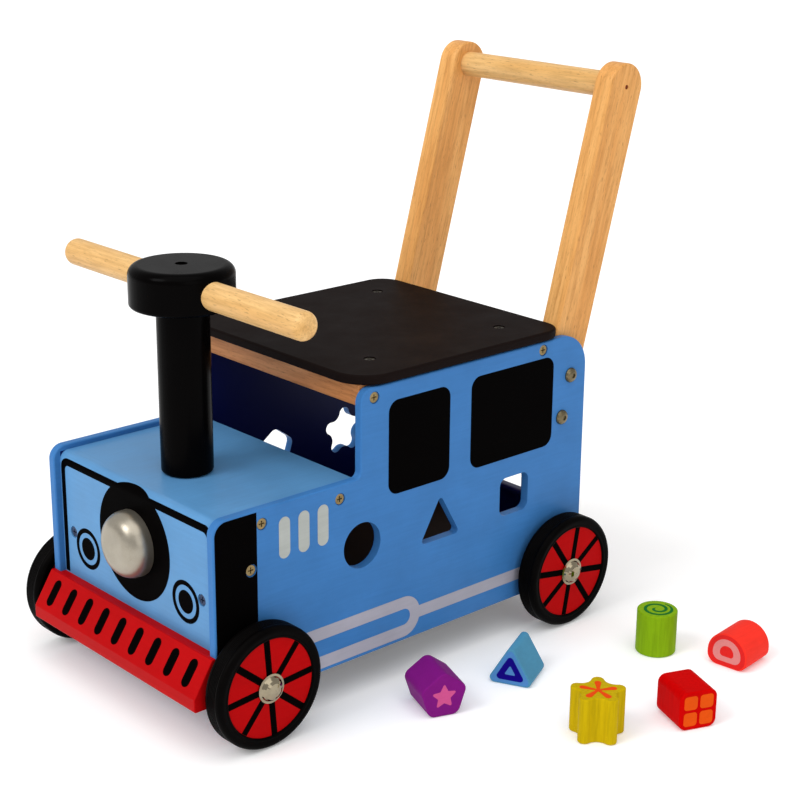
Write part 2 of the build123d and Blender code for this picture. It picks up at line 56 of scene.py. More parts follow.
# ================================================================ materials
class Recipe:
    """A Principled material with short calls for the nodes behind it."""

    def __init__(self, name, roughness=0.5, **sockets):
        self.mat = bpy.data.materials.new(name)
        self.mat.use_nodes = True
        self.tree = self.mat.node_tree
        self.shader = self.tree.nodes["Principled BSDF"]
        self.set_socket("Roughness", roughness)
        for socket, value in sockets.items():
            self.set_socket(socket.replace("_", " "), value)

    def set_socket(self, socket, value):
        self.shader.inputs[socket].default_value = value

    def node(self, kind, inputs=None, **settings):
        """A new node; each input is linked when it is given another node's output, and set otherwise."""
        made = self.tree.nodes.new(kind)
        for key, value in settings.items():
            setattr(made, key, value)
        for key, value in (inputs or {}).items():
            if isinstance(value, bpy.types.NodeSocket):
                self.tree.links.new(value, made.inputs[key])
            else:
                made.inputs[key].default_value = value
        return made

    def place(self, scale=(1, 1, 1), turn=(0, 0, 0)):
        """Object coordinates, turned and then stretched."""
        coords = self.node("ShaderNodeTexCoord").outputs["Object"]
        turned = self.node("ShaderNodeMapping", {"Vector": coords, "Rotation": turn})
        return self.node("ShaderNodeMapping", {"Vector": turned.outputs[0], "Scale": scale}).outputs[0]

    def noise(self, where, scale, detail=3.0, rough=0.55):
        return self.node("ShaderNodeTexNoise", {"Vector": where, "Scale": scale, "Detail": detail,
                                                "Roughness": rough}).outputs["Fac"]

    def span(self, value, low, high, to_low=0.0, to_high=1.0):
        return self.node("ShaderNodeMapRange", {"Value": value, "From Min": low, "From Max": high,
                                                "To Min": to_low, "To Max": to_high}).outputs[0]

    def math(self, operation, a, b):
        return self.node("ShaderNodeMath", {0: a, 1: b}, operation=operation).outputs[0]

    def mix(self, factor, a, b):
        """Colour a where factor is 0 and colour b where it is 1."""
        return self.node("ShaderNodeMix", {0: factor, 6: a, 7: b}, data_type="RGBA").outputs[2]

    def color(self, output):
        self.tree.links.new(output, self.shader.inputs["Base Color"])

    def rough(self, output):
        self.tree.links.new(output, self.shader.inputs["Roughness"])

    def bump(self, height, strength, distance):
        made = self.node("ShaderNodeBump", {"Height": height, "Strength": strength, "Distance": distance})
        self.tree.links.new(made.outputs[0], self.shader.inputs["Normal"])


def rgb(r, g, b):
    return (r, g, b, 1.0)


def shade(colour, factor):
    return (colour[0] * factor, colour[1] * factor, colour[2] * factor, 1.0)


GRAIN_STRETCH = 0.07        # scale along the grain, against 1 across it
PORE_STRETCH = 0.12
GRAIN_SCALES = {"X": (GRAIN_STRETCH, 1, 1), "Y": (1, GRAIN_STRETCH, 1), "Z": (1, 1, GRAIN_STRETCH)}

# The side panels' inner faces get painted shade, but stay their outside colour above the hood in front of
# the seat, and beside the front.
# These limits are in metres.
OPEN_ABOVE_Z, OPEN_BEFORE_X, OPEN_FRONT_X = 0.1812, 0.0535, 0.1945


def lacquer(name, colour, roughness=0.34, grain="X", inside=None, gloss=0.22, grain_show=0.22):
    """Sprayed lacquer over wood: cloudy tone, faint grain lines and a fine orange-peel skin.
    inside = (axis, limit in mm, colour) paints what lies nearer the middle than limit another colour,
    except for the strips beside the hood and the front, which stay as the outside.
    The inner colour is painted shade: a darker paint standing in for the shade inside the body."""
    m = Recipe(name, roughness, Specular_IOR_Level=gloss)
    flat = m.place()
    long_grain = m.place(GRAIN_SCALES[grain])
    cloud = m.noise(flat, 26.0, 4.0)
    grain_lines = m.noise(long_grain, 420.0, 5.0, 0.65)
    skin = m.noise(flat, 900.0, 2.0)
    tone = m.mix(m.span(cloud, 0.3, 0.7), shade(colour, 0.93), shade(colour, 1.06))
    tone = m.mix(m.span(grain_lines, 0.38, 0.68, 0.0, grain_show), tone, shade(colour, 0.72))
    specks = m.span(m.noise(flat, 520.0, 2.0), 0.70, 0.78, 0.0, 0.25)
    tone = m.mix(specks, tone, shade(colour, 1.35))
    # Painted shade: what lies nearer the middle than the limit gets the darker inner colour, except on the
    # open strips.
    if inside:
        axis, limit, inner = inside
        coords = m.node("ShaderNodeTexCoord").outputs["Object"]
        parts = m.node("ShaderNodeSeparateXYZ", {"Vector": coords})
        depth = m.math("ABSOLUTE", parts.outputs[axis], 0.0)
        shaded_inside = m.math("LESS_THAN", depth, limit * MM)
        beside_hood = m.math("MULTIPLY", m.math("GREATER_THAN", parts.outputs[2], OPEN_ABOVE_Z),
                             m.math("GREATER_THAN", parts.outputs[0], OPEN_BEFORE_X))
        open_edge = m.math("MAXIMUM", beside_hood, m.math("GREATER_THAN", parts.outputs[0], OPEN_FRONT_X))
        tone = m.mix(m.math("SUBTRACT", shaded_inside, m.math("MULTIPLY", shaded_inside, open_edge)), tone, inner)
    m.color(tone)
    m.rough(m.span(cloud, 0.3, 0.7, roughness - 0.05, roughness + 0.07))
    m.bump(m.math("ADD", m.math("MULTIPLY", grain_lines, 0.7), m.math("MULTIPLY", skin, 0.3)), 0.25, 0.0002)
    return m.mat


def timber(name, light, dark, axis="Y", turn=(0, 0, 0), shift=0.0):
    """Clear lacquered rubberwood: broad bands, fine streaks and short dark pores along one axis."""
    m = Recipe(name, 0.42, Coat_Weight=0.05, Coat_Roughness=0.25, Specular_IOR_Level=0.2)
    streak = m.place(GRAIN_SCALES[axis], turn)
    fleck = m.place(tuple(PORE_STRETCH if s < 1 else 1 for s in GRAIN_SCALES[axis]), turn)
    moved = m.node("ShaderNodeVectorMath", {0: streak, 1: (shift, shift * 0.7, shift * 1.3)}).outputs[0]
    bands = m.noise(moved, 75.0, 3.0, 0.5)
    fine = m.noise(moved, 420.0, 4.0, 0.6)
    pores = m.noise(fleck, 1250.0, 2.0, 0.5)
    tone = m.mix(m.span(bands, 0.32, 0.68), light, dark)
    tone = m.mix(m.span(fine, 0.42, 0.72, 0.0, 0.7), tone, shade(dark, 0.72))
    tone = m.mix(m.span(pores, 0.60, 0.72, 0.0, 0.6), tone, shade(dark, 0.40))
    m.color(tone)
    m.rough(m.span(fine, 0.3, 0.7, 0.36, 0.5))
    m.bump(m.math("SUBTRACT", fine, m.math("MULTIPLY", pores, 0.6)), 0.22, 0.0002)
    return m.mat


def plated(name, colour, roughness, scratch=0.3):
    """Plated metal with fine handling marks and a little dullness in patches."""
    m = Recipe(name, roughness, Metallic=1.0)
    flat = m.place()
    patch = m.noise(flat, 160.0, 3.0)
    lines = m.noise(m.place((1, 0.05, 1)), 2600.0, 2.0)
    m.color(m.mix(m.span(patch, 0.35, 0.7), colour, shade(colour, 0.78)))
    m.rough(m.span(patch, 0.3, 0.7, roughness * 0.75, roughness * 1.5))
    m.bump(lines, scratch * 0.2, 0.00005)
    return m.mat


def rubber(name):
    """Satin black rubber with mould-flow mottling and a fine bump texture."""
    m = Recipe(name, 0.30, Specular_IOR_Level=0.02)
    flat = m.place()
    mottle = m.noise(flat, 60.0, 5.0, 0.6)
    fine = m.noise(flat, 1400.0, 2.0)
    tone = m.mix(m.span(mottle, 0.3, 0.75), rgb(0.0008, 0.0006, 0.0006), rgb(0.0022, 0.0017, 0.0016))
    m.color(tone)
    m.rough(m.span(mottle, 0.3, 0.7, 0.32, 0.5))
    m.bump(fine, 0.15, 0.0001)
    return m.mat


def silver_paint(name):
    """Fine aluminium-flake paint over a turned wooden knob."""
    m = Recipe(name, 0.34, Metallic=0.85)
    flat = m.place()
    flake = m.noise(flat, 3000.0, 1.0)
    cloud = m.noise(flat, 60.0, 3.0)
    base = m.mix(m.span(cloud, 0.3, 0.7), rgb(0.33, 0.295, 0.235), rgb(0.40, 0.36, 0.29))
    m.color(m.mix(m.span(flake, 0.55, 0.7, 0.0, 0.5), base, rgb(0.56, 0.52, 0.45)))
    m.rough(m.span(flake, 0.4, 0.7, 0.28, 0.42))
    m.bump(flake, 0.06, 0.00005)
    return m.mat


# Painted shade: dark navy in place of the blue on the side panels' inner faces and on the rear board,
# standing in for the shade inside the body.
PAINTED_SHADE_NAVY = rgb(0.0010, 0.0050, 0.085)
BLUE = rgb(0.046, 0.190, 0.480)
# Painted light: a lighter copy of the side blue for the front and the hood, standing in for the light that
# falls on them from the front and from above.
LIT_FACE_BLUE = rgb(0.100, 0.290, 0.560)
BLACK = rgb(0.0012, 0.0009, 0.0009)
RED = rgb(0.46, 0.0022, 0.0035)
WOOD_LIGHT, WOOD_DARK = rgb(0.88, 0.56, 0.235), rgb(0.72, 0.40, 0.13)
# A darker tone of the rubberwood, for the rails under the seat and the cleats and stop pin inside the body.
DARKER_WOOD_LIGHT, DARKER_WOOD_DARK = rgb(0.66, 0.28, 0.095), rgb(0.50, 0.17, 0.045)
HANDLE_LEAN = radians(15.23)

MATERIALS = {
    # The side panels' inner faces get the dark navy painted shade.
    "side_blue": lacquer("blue_side_lacquer", BLUE, inside=(1, 105.3, PAINTED_SHADE_NAVY), gloss=0.10),
    # Painted light: the front and the hood get the lighter blue.
    "front_lit_blue": lacquer("lit_blue_front_lacquer", LIT_FACE_BLUE, grain="Y"),
    "hood_lit_blue": lacquer("lit_blue_hood_lacquer", LIT_FACE_BLUE, grain="X"),
    # Painted shade: the rear board inside the body is dark navy.
    "painted_shade_navy": lacquer("navy_painted_shade_lacquer", PAINTED_SHADE_NAVY, grain="Y"),
    # Very dark brown floor board inside the body.
    "floor": lacquer("dark_brown_floor_board", rgb(0.016, 0.008, 0.005), 0.6, gloss=0.05),
    "black": lacquer("black_lacquer", BLACK, 0.5, gloss=0.006),
    "seat_black": lacquer("seat_black_lacquer", rgb(0.0085, 0.0050, 0.0044), 0.55, gloss=0.025),
    "column_black": lacquer("column_black_lacquer", BLACK, 0.22, grain="Z", gloss=0.022),
    "red": lacquer("red_lacquer", RED, 0.40, grain="Y", gloss=0.04),
    "wheel_red": lacquer("wheel_red_lacquer", rgb(0.44, 0.0020, 0.0030), 0.45, gloss=0.02),
    "silver": silver_paint("silver_knob_paint"),
    "wood_y": timber("rubberwood_bars", WOOD_LIGHT, WOOD_DARK, "Y", shift=0.3),
    "wood_bar": timber("rubberwood_handlebar", WOOD_LIGHT, WOOD_DARK, "Y", shift=1.7),
    "wood_rail": timber("rubberwood_rails", DARKER_WOOD_LIGHT, DARKER_WOOD_DARK, "Y", shift=2.9),
    "wood_post": timber("rubberwood_uprights", rgb(0.86, 0.450, 0.145), rgb(0.70, 0.300, 0.070), "Z",
                        (0, HANDLE_LEAN, 0), 4.1),
    "wood_z": timber("rubberwood_blocks", DARKER_WOOD_LIGHT, DARKER_WOOD_DARK, "Z", shift=5.3),
    "brass": plated("yellow_zinc", rgb(0.30, 0.22, 0.10), 0.32),
    # Dark blue screw heads for the front panel.
    "dark_screw": plated("dark_blue_screw", rgb(0.055, 0.080, 0.150), 0.42),
    "seat_screw": plated("blackened_screw", rgb(0.10, 0.085, 0.06), 0.34),
    # Painted shade: the pin ends are dark reddish brown so that they read as a shaded hole in the upright.
    "pin_end": lacquer("shaded_hole_pin_end", rgb(0.16, 0.035, 0.015), 0.6, gloss=0.1),
    "steel": plated("bright_zinc", rgb(0.19, 0.155, 0.09), 0.30),
    "chrome": plated("cap_plating", rgb(0.34, 0.29, 0.20), 0.10, 0.1),
    "plastic": lacquer("black_nylon", rgb(0.004, 0.004, 0.004), 0.5, gloss=0.1),
    "rubber": rubber("tyre_rubber"),
    "stripe_grey": lacquer("grey_stripe_paint", rgb(0.39, 0.385, 0.45), 0.42),
    "louvre_grey": lacquer("grey_louvre_paint", rgb(0.43, 0.455, 0.43), 0.42),
    "green": lacquer("green_block_paint", rgb(0.225, 0.405, 0.006), 0.5, grain="Z", gloss=0.03,
                     grain_show=0.75),
    "dark_green": lacquer("spiral_paint", rgb(0.006, 0.145, 0.020), 0.5, gloss=0.03),
    "yellow": lacquer("yellow_block_paint", rgb(0.570, 0.400, 0.002), 0.5, grain="Z", gloss=0.03,
                      grain_show=0.75),
    "orange": lacquer("petal_paint", rgb(0.80, 0.070, 0.004), 0.5, gloss=0.03),
    "square_orange": lacquer("tile_paint", rgb(0.76, 0.085, 0.004), 0.5, gloss=0.03),
    "teal": lacquer("teal_block_paint", rgb(0.076, 0.276, 0.440), 0.5, gloss=0.03),
    "face_blue": lacquer("triangle_face_paint", rgb(0.075, 0.230, 0.520), 0.5, gloss=0.03),
    "indigo": lacquer("indigo_ring_paint", rgb(0.006, 0.001, 0.200), 0.5, gloss=0.03),
    "purple": lacquer("purple_block_paint", rgb(0.200, 0.008, 0.190), 0.5, gloss=0.03),
    "pink": lacquer("star_paint", rgb(0.600, 0.085, 0.260), 0.5, gloss=0.03),
    "coral": lacquer("coral_block_paint", rgb(0.880, 0.036, 0.022), 0.5, gloss=0.03),
    "d_face": lacquer("coral_face_paint", rgb(0.720, 0.020, 0.018), 0.5, gloss=0.03),
    "pale_pink": lacquer("pink_ring_paint", rgb(0.720, 0.235, 0.225), 0.5, gloss=0.03),
    "block_red": lacquer("red_block_paint", rgb(0.60, 0.001, 0.001), 0.5, grain="Z", gloss=0.012,
                         grain_show=0.5),
}

NODE_MATERIAL = {
    "left_side_panel": "side_blue", "right_side_panel": "side_blue",
    "front_panel": "front_lit_blue", "hood_panel": "hood_lit_blue",
    "floor_panel": "floor", "rear_panel": "painted_shade_navy",
    "rear_panel_dowels": "wood_y", "corner_cleats": "wood_z",
    "bumper": "red", "front_knob": "silver",
    "seat_board": "seat_black", "seat_rail_front": "wood_rail", "seat_rail_rear": "wood_rail",
    "side_screws": "brass", "seat_screws": "seat_screw", "front_screws": "dark_screw",
    "bumper_screws": "brass", "knob_screw": "brass",
    "handle_upright_left": "wood_post", "handle_upright_right": "wood_post",
    "handle_crossbar": "wood_y", "crossbar_pins": "pin_end",
    "handle_bolts": "steel", "handle_nuts": "steel",
    "front_axle": "steel", "rear_axle": "steel", "axle_spacers": "plastic", "axle_caps": "chrome",
    "column_post": "column_black", "column_cap": "column_black", "handlebar": "wood_bar",
    "steering_bolt": "steel", "steering_washer": "steel", "steering_lock_nut": "steel",
    "stop_pin": "wood_z",
    "cylinder_block": "green", "flower_block": "yellow", "square_block": "block_red",
    "triangle_block": "teal", "pentagon_block": "purple", "d_block": "coral",
}
for corner in CORNERS:
    NODE_MATERIAL["wheel_disc_" + corner] = "wheel_red"
    NODE_MATERIAL["tyre_" + corner] = "rubber"

for node, key in NODE_MATERIAL.items():
    for material_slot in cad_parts[node].material_slots:
        material_slot.material = MATERIALS[key]


# ================================================================ mesh helpers
def finish_piece(bm, name, material, body, smooth=False):
    """Turns millimetre mesh data into a piece that rides on a body."""
    bmesh.ops.remove_doubles(bm, verts=bm.verts, dist=1e-4)
    bmesh.ops.scale(bm, vec=(MM, MM, MM), verts=bm.verts)
    bmesh.ops.recalc_face_normals(bm, faces=bm.faces)
    mesh = bpy.data.meshes.new(name)
    bm.to_mesh(mesh)
    bm.free()
    mesh.materials.append(MATERIALS[material])
    for polygon in mesh.polygons:
        polygon.use_smooth = smooth
    piece = bpy.data.objects.new(name, mesh)
    bpy.context.collection.objects.link(piece)
    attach(piece, body)
    return piece


def arc_points(cu, cv, radius, start, end, steps):
    return [(cu + radius * cos(t), cv + radius * sin(t))
            for t in (start + (end - start) * n / steps for n in range(steps + 1))]


def circle_loop(cu, cv, radius, steps=64):
    return [(cu + radius * cos(2 * pi * n / steps), cv + radius * sin(2 * pi * n / steps))
            for n in range(steps)]


def corner_loop(corners, steps=8):
    """Closed outline through (u, v, radius) corners, each rounded by an arc."""
    loop = []
    count = len(corners)
    for n, (u, v, radius) in enumerate(corners):
        here = Vector((u, v))
        if radius <= 0:
            loop.append((u, v))
            continue
        to_last = (Vector(corners[n - 1][:2]) - here).normalized()
        to_next = (Vector(corners[(n + 1) % count][:2]) - here).normalized()
        half = to_last.angle(to_next) / 2
        centre = here + (to_last + to_next).normalized() * radius / sin(half)
        first = here + to_last * radius / tan(half) - centre
        last = here + to_next * radius / tan(half) - centre
        turn = first.angle_signed(last)
        for step in range(steps + 1):
            arm = first.copy()
            arm.rotate(Matrix.Rotation(-turn * step / steps, 2))
            loop.append(tuple(centre + arm))
    return loop


def rect_loop(u_low, u_high, v_low, v_high, radius):
    return corner_loop([(u_low, v_low, radius), (u_high, v_low, radius),
                        (u_high, v_high, radius), (u_low, v_high, radius)])


def pill_loop(cu, cv, width, height):
    radius = min(width, height) / 2 - 0.01
    return rect_loop(cu - width / 2, cu + width / 2, cv - height / 2, cv + height / 2, radius)


FILM = 0.14          # thickness of a painted shape
FILM_SINK = 0.03     # how deep it reaches below the painted surface
OVER_OUTLINE = 1.15  # the front disc lies this much higher than the outline that it crosses
OVER_FACE = 1.6      # a ring painted over an already painted face


def paint_film(name, loops, place, material, body, cuts=()):
    """Thin closed film of paint from flat outlines, laid on a surface by place(u, v, w).
    cuts are values of v where the film is split, so that it can follow a bend."""
    bm = bmesh.new()
    for loop in loops:
        verts = [bm.verts.new((u, v, 0)) for u, v in loop]
        for n, vert in enumerate(verts):
            bm.edges.new((vert, verts[(n + 1) % len(verts)]))
    bmesh.ops.triangle_fill(bm, edges=bm.edges[:], use_beauty=True, normal=(0, 0, 1))
    for cut in cuts:
        bmesh.ops.bisect_plane(bm, geom=bm.verts[:] + bm.edges[:] + bm.faces[:],
                               plane_co=(0, cut, 0), plane_no=(0, 1, 0))
    base = bm.faces[:]
    lifted = bmesh.ops.extrude_face_region(bm, geom=base, use_keep_orig=True)["geom"]
    for item in lifted:
        if isinstance(item, bmesh.types.BMVert):
            item.co.z = 1
    for vert in bm.verts:
        u, v, top = vert.co
        vert.co = place(u, v, FILM if top > 0.5 else -FILM_SINK)
    return finish_piece(bm, name, material, body)


# ================================================================ painted sides
panel_low, panel_high = mm_box("left_side_panel")
FACE_Y = panel_high.y
WINDOWS = {"front_window": (-38.5, 28.2, 163.6, 243.0), "rear_window": (-160.0, -62.4, 163.8, 243.7)}
WINDOW_R = 10.0
LOUVRE_X, LOUVRE_W, LOUVRE_Z = (133.8, 114.8, 95.8), 10.8, (140.0, 174.0)
EDGE = 1.6                                  # bare strip left along the panel's edge
CORNER_BLACK_X, NOSE_TOP_Z = 160.3, 186.0   # rear edge of the black corner, top of the panel's low nose
CORNER_SCREW, SCREW_CLEAR_R = (166.0, 138.8), 5.1
FORK_X, FORK_Z, FORK_R, FORK_INNER_R = 10.5, 52.75, 17.95, 7.15
FORK_STEPS = 20
BAR_Z = (47.6, 58.2)
STRIPE_FRONT_X, STRIPE_REAR_X = 166.0, -166.0


def side_face(side):
    return lambda u, v, w: Vector((u, side * (FACE_Y + w), v))


def fork_loop():
    """Grey tuning-fork stripe: two prongs, a round crook and one long handle."""
    lower, upper = FORK_Z - FORK_R, FORK_Z + FORK_R
    meet = sqrt(FORK_R ** 2 - (BAR_Z[1] - FORK_Z) ** 2)
    bar_top = atan2(BAR_Z[1] - FORK_Z, -meet)
    bar_foot = atan2(BAR_Z[0] - FORK_Z, -meet) % (2 * pi)
    loop = [(STRIPE_FRONT_X, upper)]
    loop += arc_points(FORK_X, FORK_Z, FORK_R, pi / 2, bar_top, FORK_STEPS)
    loop += [(STRIPE_REAR_X, BAR_Z[1]), (STRIPE_REAR_X, BAR_Z[0])]
    loop += arc_points(FORK_X, FORK_Z, FORK_R, bar_foot, 3 * pi / 2, FORK_STEPS)
    loop += [(STRIPE_FRONT_X, lower), (STRIPE_FRONT_X, FORK_Z - FORK_INNER_R)]
    loop += arc_points(FORK_X, FORK_Z, FORK_INNER_R, 3 * pi / 2, pi / 2, FORK_STEPS)
    return loop + [(STRIPE_FRONT_X, FORK_Z + FORK_INNER_R)]


def paint_side(name, side):
    face = side_face(side)
    for window, (x_low, x_high, z_low, z_high) in WINDOWS.items():
        paint_film(name + "_" + window, [rect_loop(x_low, x_high, z_low, z_high, WINDOW_R)], face,
                   "black", BODY)
    louvres = [pill_loop(x, sum(LOUVRE_Z) / 2, LOUVRE_W, LOUVRE_Z[1] - LOUVRE_Z[0]) for x in LOUVRE_X]
    paint_film(name + "_louvres", louvres, face, "louvre_grey", BODY)
    front, top = panel_high.x - EDGE, NOSE_TOP_Z - EDGE
    corner = corner_loop([(CORNER_BLACK_X, panel_low.z + EDGE, 0), (front, panel_low.z + EDGE, 10),
                          (front, top, 11), (CORNER_BLACK_X, top, 0)])
    paint_film(name + "_corner_black", [corner, circle_loop(*CORNER_SCREW, SCREW_CLEAR_R, 32)], face,
               "black", BODY)
    paint_film(name + "_fork_stripe", [fork_loop()], face, "stripe_grey", BODY)


for side_name, side_sign in SIDES.items():
    paint_side(side_name, side_sign)

# ================================================================ painted front
front_high = mm_box("front_panel")[1]
FRONT_X = front_high.x
HOOD_Z = front_high.z
NOSE_R = 8.0
BEND_Z = HOOD_Z - NOSE_R
DISC_Z, DISC_R = 134.5, 48.5
LAMP_Y, LAMP_Z, LAMP_R, LAMP_INNER_R, PUPIL_R = 68.0, 106.5, 17.5, 13.6, 9.5
BAND_OUT, BAND_IN, BAND_TOP, BAND_TOP_IN, BAND_FOOT = 103.6, 98.0, 177.8, 171.8, 76.9


def front_face(u, v, w):
    """u across, v up the front panel and then back over its rounded top edge."""
    along = v - BEND_Z
    if along <= 0:
        return Vector((FRONT_X + w, u, v))
    angle = min(along / NOSE_R, pi / 2)
    rest = along - angle * NOSE_R
    return Vector((FRONT_X - NOSE_R + (NOSE_R + w) * cos(angle) - rest, u,
                   BEND_Z + (NOSE_R + w) * sin(angle)))


BEND_CUTS = [BEND_Z + n for n in range(14)]


def front_outline():
    """One black line: up one side of the front panel, over its top edge and down the other side."""
    return corner_loop([(BAND_OUT, BAND_FOOT, 0), (BAND_OUT, BAND_TOP, 9), (-BAND_OUT, BAND_TOP, 9),
                        (-BAND_OUT, BAND_FOOT, 0), (-BAND_IN, BAND_FOOT, 0), (-BAND_IN, BAND_TOP_IN, 5),
                        (BAND_IN, BAND_TOP_IN, 5), (BAND_IN, BAND_FOOT, 0)])


paint_film("front_outline", [front_outline()], front_face, "black", BODY, BEND_CUTS)
paint_film("front_disc", [circle_loop(0, DISC_Z, DISC_R, 96)],
           lambda u, v, w: front_face(u, v, w * OVER_OUTLINE), "black", BODY, BEND_CUTS)
for side_name, side_sign in SIDES.items():
    lamp = side_sign * LAMP_Y
    ring = [circle_loop(lamp, LAMP_Z, LAMP_R), circle_loop(lamp, LAMP_Z, LAMP_INNER_R)]
    paint_film("headlight_ring_" + side_name, ring, front_face, "black", BODY)
    pupil = [circle_loop(lamp, LAMP_Z, PUPIL_R)]
    paint_film("headlight_pupil_" + side_name, pupil, front_face, "black", BODY)

# ================================================================ bumper slots
bumper_high = mm_box("bumper")[1]
SLOPE_TOP = Vector((204.2, 0, bumper_high.z))
SLOPE_FOOT = Vector((bumper_high.x, 0, 49.2))
slope_down = (SLOPE_FOOT - SLOPE_TOP).normalized()
slope_out = Vector((-slope_down.z, 0, slope_down.x))
SLOT_PITCH, SLOT_W, SLOT_L, SLOT_AT, SLOT_LEAN = 23.95, 9.2, 22.9, 16.4, -0.04
SLOTS_EACH_WAY = 4


def bumper_face(u, v, w):
    return SLOPE_TOP + slope_down * v + slope_out * w + Vector((0, u + SLOT_LEAN * (v - SLOT_AT), 0))


slots = [pill_loop(SLOT_PITCH * n, SLOT_AT, SLOT_W, SLOT_L)
         for n in range(-SLOTS_EACH_WAY, SLOTS_EACH_WAY + 1)]
paint_film("bumper_slots", slots, bumper_face, "black", BODY)

# ================================================================ wheels
WHEEL_TURN = {"front_left": 40.5, "front_right": 20.0, "rear_left": 10.0, "rear_right": 31.0}
SPOKES, SPOKE_W, SPOKE_INNER = 8, 5.6, 10.0
TYRE_SHOULDER_R, TYRE_SHOULDER_STEPS = 4.5, 7
TREAD_GROOVES, GROOVE_DEPTH, GROOVE_HALF, GROOVE_FLOOR_HALF = 6, 0.45, 0.42, 0.14


def wheel_axis(corner):
    low, high = mm_box("tyre_" + corner)
    middle = (low + high) / 2
    return middle, (high.x - low.x) / 2, (high.y - low.y) / 2


def tyre_profile(radius, half_width, inner_radius):
    """Closed (radius, across) outline of a tyre with a bead, a dished wall and a grooved tread."""
    shoulder, wall = TYRE_SHOULDER_R, half_width
    half = [(inner_radius, wall - 2.4), (inner_radius + 0.25, wall - 1.2), (inner_radius + 1.0, wall - 0.45),
            (inner_radius + 2.0, wall - 0.25), (inner_radius + 2.5, wall - 0.55),
            (inner_radius + 3.1, wall - 0.35), (radius - shoulder, wall - 0.05)]
    for n in range(1, TYRE_SHOULDER_STEPS + 1):
        angle = pi / 2 * n / TYRE_SHOULDER_STEPS
        half.append((radius - shoulder + shoulder * sin(angle), wall - shoulder + shoulder * cos(angle)))
    tread = []
    pitch = 2 * (wall - shoulder) / (TREAD_GROOVES + 1)
    for n in range(1, TREAD_GROOVES + 1):
        middle = wall - shoulder - n * pitch
        tread += [(radius, middle + GROOVE_HALF), (radius - GROOVE_DEPTH, middle + GROOVE_FLOOR_HALF),
                  (radius - GROOVE_DEPTH, middle - GROOVE_FLOOR_HALF), (radius, middle - GROOVE_HALF)]
    mirrored = [(r, -across) for r, across in reversed(half)]
    return half + tread + mirrored


def lathe(profile, centre, steps=120):
    """Ring turned about the Y direction through centre from a closed (radius, across) outline."""
    bm = bmesh.new()
    rings = []
    for n in range(steps):
        angle = 2 * pi * n / steps
        rings.append([bm.verts.new(centre + Vector((r * cos(angle), across, r * sin(angle))))
                      for r, across in profile])
    for n, ring in enumerate(rings):
        after = rings[(n + 1) % steps]
        for k in range(len(profile)):
            j = (k + 1) % len(profile)
            bm.faces.new((ring[k], ring[j], after[j], after[k]))
    return bm


def spoke_loops(outer_radius, turn):
    """Straight bars from the hub to the tyre."""
    loops = []
    reach = sqrt(outer_radius ** 2 - (SPOKE_W / 2) ** 2)
    for n in range(SPOKES):
        angle = radians(turn + 360 / SPOKES * n)
        bar = [(SPOKE_INNER, -SPOKE_W / 2), (reach, -SPOKE_W / 2), (outer_radius, 0),
               (reach, SPOKE_W / 2), (SPOKE_INNER, SPOKE_W / 2)]
        loops.append([(a * cos(angle) - b * sin(angle), a * sin(angle) + b * cos(angle)) for a, b in bar])
    return loops


def dress_wheel(corner):
    body = "wheel_" + corner
    centre, radius, half_width = wheel_axis(corner)
    disc_low, disc_high = mm_box("wheel_disc_" + corner)
    disc_r = (disc_high.x - disc_low.x) / 2
    side = 1 if centre.y > 0 else -1
    face_y = disc_high.y if side > 0 else disc_low.y
    tread = lathe(tyre_profile(radius, half_width, disc_r), centre)
    tyre = finish_piece(tread, "ribbed_tyre_" + corner, "rubber", body, smooth=True)
    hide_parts("tyre_" + corner)

    def face(u, v, w):
        return Vector((centre.x + u, face_y + side * w, centre.z + v))

    paint_film("spokes_" + corner, spoke_loops(disc_r - 0.1, WHEEL_TURN[corner]), face, "black", body)


for corner in CORNERS:
    dress_wheel(corner)

# ================================================================ loose blocks
BLOCK_TURN = {"square": 68.4, "triangle": 26.0, "pentagon": 69.7, "d": 7.0}
FLOWER_TURN, CYLINDER_TURN = 7.4, 137.7
BLOCK_HALF_LENGTH = 19.0


def end_face(node, turn):
    """Surface on the end of a prism that lies on its side; v is the height above the floor."""
    low, high = mm_box(node)
    out = Vector((cos(radians(turn)), sin(radians(turn)), 0))
    across = Vector((-out.y, out.x, 0))
    foot = Vector(((low.x + high.x) / 2, (low.y + high.y) / 2, low.z))
    return lambda u, v, w: foot + out * (BLOCK_HALF_LENGTH + w) + across * u + Vector((0, 0, v))


def top_face(node, turn):
    """Surface on the top of a standing block."""
    low, high = mm_box(node)
    centre = (low + high) / 2
    c, s = cos(radians(turn)), sin(radians(turn))
    return lambda u, v, w: Vector((centre.x + u * c - v * s, centre.y + u * s + v * c, high.z + w))


def petal_loop(petals=5):
    """Five drop-shaped petals that meet in the middle."""
    waist, root, swell, swell_at, tip, valley_r, tip_steps = 1.3, 3.2, 2.7, 12.3, 15.2, 2.4, 10
    loop = []
    for n in range(petals):
        angle = 2 * pi * n / petals
        shape = [(root, -waist)]
        shape += [(swell_at + (tip - swell_at) * cos(t), swell * sin(t))
                  for t in (-pi / 2 + pi * k / tip_steps for k in range(tip_steps + 1))]
        shape += [(root, waist)]
        loop += [(a * cos(angle) - b * sin(angle), a * sin(angle) + b * cos(angle)) for a, b in shape]
        valley = angle + pi / petals
        loop.append((valley_r * cos(valley), valley_r * sin(valley)))
    return loop


